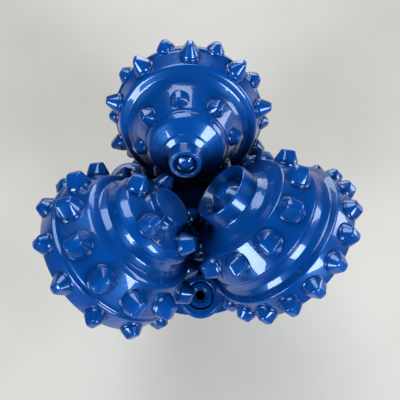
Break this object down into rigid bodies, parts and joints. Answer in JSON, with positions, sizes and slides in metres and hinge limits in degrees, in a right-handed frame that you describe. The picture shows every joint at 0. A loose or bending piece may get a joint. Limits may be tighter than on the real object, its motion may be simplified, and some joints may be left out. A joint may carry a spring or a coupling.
{
  "type": "tricone drill bit",
  "caption": "Rotary drill bit with three turning cones of carbide inserts on a threaded pin, with nozzles and sealed journal bearings.",
  "frame": {"origin": "centre of the end face of the threaded pin", "axes": "+Z along the bit's axis from the pin to the cones, +Y towards cone 1"},
  "size_m": [0.2148, 0.2076, 0.304],
  "materials": {
    "blue_enamel": "glossy",
    "nozzle_carbide": "satin",
    "seal_rubber": "matte",
    "ring_steel": "satin",
    "bearing_bronze": "satin"
  },
  "bodies": {
    "bit_body": {"leg_1": "blue_enamel", "leg_2": "blue_enamel", "leg_3": "blue_enamel", "jet_boss_1": "blue_enamel", "jet_boss_2": "blue_enamel", "jet_boss_3": "blue_enamel", "nozzle_1": "nozzle_carbide", "nozzle_2": "nozzle_carbide", "nozzle_3": "nozzle_carbide", "nozzle_seal_1": "seal_rubber", "nozzle_seal_2": "seal_rubber", "nozzle_seal_3": "seal_rubber", "compensator_diaphragm_1": "seal_rubber", "compensator_diaphragm_2": "seal_rubber", "compensator_diaphragm_3": "seal_rubber", "reservoir_cap_1": "blue_enamel", "reservoir_cap_2": "blue_enamel", "reservoir_cap_3": "blue_enamel", "reservoir_snap_ring_1": "ring_steel", "reservoir_snap_ring_2": "ring_steel", "reservoir_snap_ring_3": "ring_steel", "retaining_ring_1": "ring_steel", "retaining_ring_2": "ring_steel", "retaining_ring_3": "ring_steel"},
    "cone_1": {"cone_shell_1": "blue_enamel", "journal_bushing_1": "bearing_bronze", "thrust_washer_1": "bearing_bronze", "cone_seal_1": "seal_rubber"},
    "cone_2": {"cone_shell_2": "blue_enamel", "journal_bushing_2": "bearing_bronze", "thrust_washer_2": "bearing_bronze", "cone_seal_2": "seal_rubber"},
    "cone_3": {"cone_shell_3": "blue_enamel", "journal_bushing_3": "bearing_bronze", "thrust_washer_3": "bearing_bronze", "cone_seal_3": "seal_rubber"}
  },
  "joints": [
    {"name": "cone_1_spin", "type": "hinge", "parent": "bit_body", "child": "cone_1", "pos_m": [-0.0057, 0, 0.283], "axis": [0, -0.8387, 0.5446], "continuous": true},
    {"name": "cone_2_spin", "type": "hinge", "parent": "bit_body", "child": "cone_2", "pos_m": [0.00285, -0.00494, 0.283], "axis": [0.7263, 0.4193, 0.5446], "continuous": true},
    {"name": "cone_3_spin", "type": "hinge", "parent": "bit_body", "child": "cone_3", "pos_m": [0.00285, 0.00494, 0.283], "axis": [-0.7263, 0.4193, 0.5446], "continuous": true}
  ]
}
